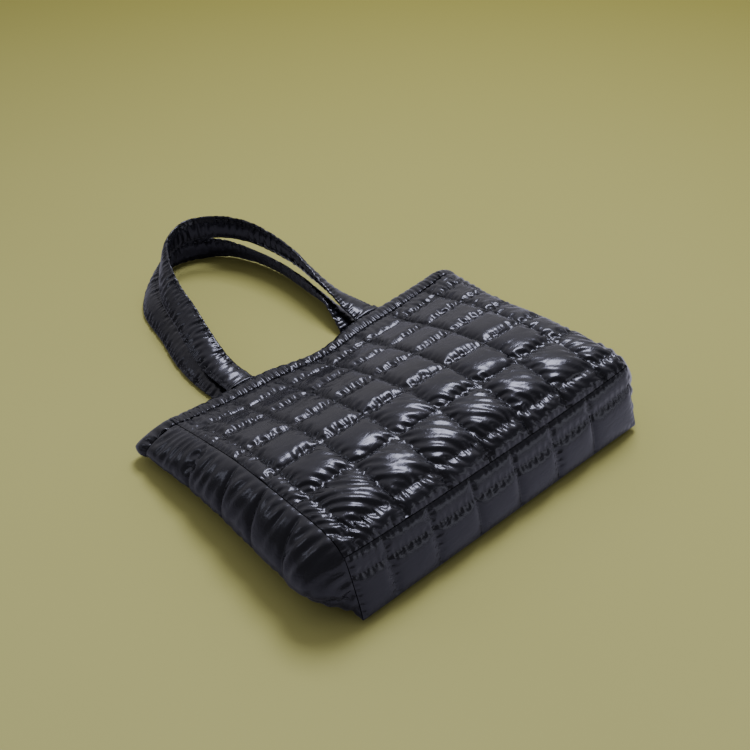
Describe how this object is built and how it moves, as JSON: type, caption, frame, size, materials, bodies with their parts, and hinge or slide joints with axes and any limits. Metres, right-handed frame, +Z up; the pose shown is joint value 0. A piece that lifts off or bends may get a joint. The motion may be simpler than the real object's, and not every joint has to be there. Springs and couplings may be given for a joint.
{
  "type": "puffer tote bag",
  "caption": "Quilted, padded shoulder tote lying on its back panel, with a flattened open mouth, a boxed base, folded side gussets and a pair of padded carrying straps.",
  "frame": {"origin": "bottom centre of the bounding box of the lying bag, straps included; z = 0 is the floor", "axes": "+X along the base, +Y from the base to the mouth and straps, +Z up from the floor"},
  "size_m": [0.4302, 0.566, 0.092],
  "materials": {
    "quilted_nylon": "glossy black nylon taffeta over wadding",
    "band_nylon": "glossy black nylon, folded and gathered",
    "strap_nylon": "glossy black nylon, padded and edge stitched"
  },
  "bodies": {
    "root": {"front_panel": "quilted_nylon", "back_panel": "quilted_nylon", "base_panel": "quilted_nylon", "gusset_left": "quilted_nylon", "gusset_right": "quilted_nylon", "band_front": "band_nylon", "band_back": "band_nylon", "band_left": "band_nylon", "band_right": "band_nylon", "strap_front": "strap_nylon", "strap_back": "strap_nylon"}
  },
  "joints": []
}
